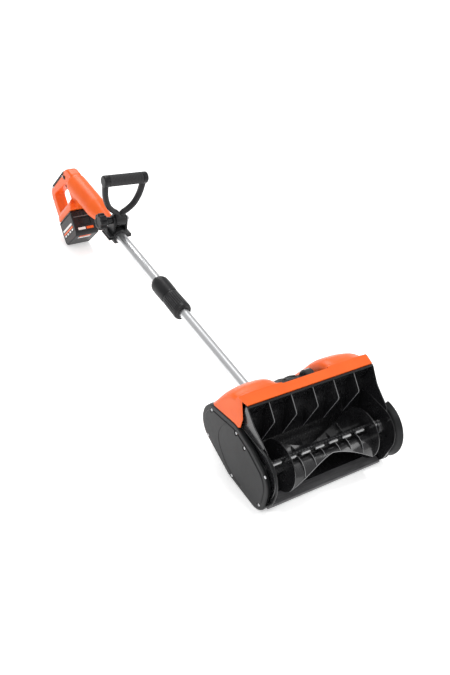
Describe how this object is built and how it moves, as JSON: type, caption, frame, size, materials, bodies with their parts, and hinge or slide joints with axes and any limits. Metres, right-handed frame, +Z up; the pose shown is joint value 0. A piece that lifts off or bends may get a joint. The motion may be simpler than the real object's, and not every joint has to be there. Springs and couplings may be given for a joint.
{
  "type": "snow blower",
  "caption": "Battery-powered push snow thrower: wide scoop head with a paddle rotor, telescopic tube, bow handle and looped rear handle.",
  "frame": {"origin": "middle of the footprint on the floor, with the head and the battery both resting on it", "axes": "+Z up; +Y along the floor, from the scoop towards the rear handle; +X towards the right cover"},
  "size_m": [0.32, 1.3236, 0.32],
  "materials": {
    "orange_plastic": "satin moulded",
    "scoop_plastic": "gloss moulded",
    "cover_plastic": "fine satin grain",
    "scraper_plastic": "scuffed",
    "rubber": "soft grip",
    "tube_aluminium": "satin drawn",
    "steel": "zinc plated",
    "battery_plastic": "fine texture",
    "brass_contacts": "bare",
    "circuit_board": "lacquered"
  },
  "bodies": {
    "head": {"auger_housing": "scoop_plastic", "scraper_blade": "scraper_plastic", "drive_cover": "cover_plastic", "right_cover": "cover_plastic", "top_cover": "orange_plastic", "belly_plate": "scoop_plastic", "tube_socket": "cover_plastic", "motor": "steel", "motor_bracket": "steel", "motor_saddle": "scoop_plastic", "motor_cable": "rubber", "drive_belt": "rubber", "left_bearing": "steel", "right_bearing": "steel", "lower_tube": "tube_aluminium"},
    "rotor": {"auger_rotor": "scoop_plastic", "auger_shaft": "steel", "driven_pulley": "scoop_plastic"},
    "motor_drive": {"drive_pulley": "steel", "motor_shaft": "steel"},
    "upper": {"upper_tube": "tube_aluminium", "lock_body": "cover_plastic", "lock_wedge": "scoop_plastic", "handle_left_shell": "orange_plastic", "handle_right_shell": "orange_plastic", "grip_pad": "rubber", "power_switch": "scoop_plastic", "controller": "circuit_board", "terminal_block": "brass_contacts", "trigger_pin": "steel"},
    "lock_sleeve": {"lock_sleeve": "cover_plastic"},
    "clamp": {"clamp_upper": "cover_plastic", "clamp_lower": "cover_plastic", "clamp_screw_left": "steel", "clamp_screw_right": "steel", "bow_bolt": "steel"},
    "bow": {"bow_frame": "cover_plastic", "bow_grip": "rubber"},
    "knob": {"bow_knob": "cover_plastic"},
    "trigger": {"trigger": "scoop_plastic"},
    "lock_off": {"lock_off_button": "scoop_plastic"},
    "battery": {"battery_case": "battery_plastic"},
    "battery_latch": {"battery_button": "scoop_plastic"}
  },
  "joints": [
    {"name": "auger_spin", "type": "hinge", "parent": "head", "child": "rotor", "pos_m": [0, -0.60823, 0.07605], "axis": [1, 0, 0], "continuous": true},
    {"name": "motor_spin", "type": "hinge", "parent": "head", "child": "motor_drive", "pos_m": [-0.152, -0.47119, 0.0928], "axis": [1, 0, 0], "continuous": true},
    {"name": "tube_slide", "type": "slide", "parent": "head", "child": "upper", "axis": [0, 0.9887, 0.15], "range_m": [-0.15, 0.05]},
    {"name": "sleeve_twist", "type": "hinge", "parent": "upper", "child": "lock_sleeve", "pos_m": [0, -0.0512, 0.09787], "axis": [0, 0.9887, 0.15], "range_deg": [0, 90]},
    {"name": "clamp_slide", "type": "slide", "parent": "upper", "child": "clamp", "axis": [0, 0.9887, 0.15], "range_m": [-0.12, 0.02]},
    {"name": "bow_tilt", "type": "hinge", "parent": "clamp", "child": "bow", "pos_m": [0.00237, 0.26215, 0.18581], "axis": [0.9982, 0.0089, -0.0586], "range_deg": [-75, 60]},
    {"name": "knob_turn", "type": "hinge", "parent": "clamp", "child": "knob", "pos_m": [-0.04754, 0.26171, 0.18874], "axis": [0.9982, 0.0089, -0.0586], "range_deg": [0, 360]},
    {"name": "trigger_squeeze", "type": "hinge", "parent": "upper", "child": "trigger", "pos_m": [0, 0.55819, 0.17431], "axis": [1, 0, 0], "range_deg": [0, 9], "stiffness_Nm_per_rad": 0.4},
    {"name": "lock_off_press", "type": "slide", "parent": "upper", "child": "lock_off", "axis": [1, 0, 0], "range_m": [0, 0.003], "stiffness_N_per_m": 300},
    {"name": "battery_release", "type": "slide", "parent": "battery", "child": "battery_latch", "axis": [0, 0.7269, -0.6867], "range_m": [0, 0.0015], "stiffness_N_per_m": 400},
    {"name": "battery_slide", "type": "slide", "parent": "upper", "child": "battery", "axis": [0, 0.7269, -0.6867], "range_m": [0, 0.11]}
  ],
  "couplings": [
    {"joint": "motor_spin", "follows": "auger_spin", "ratio": 3.5}
  ]
}
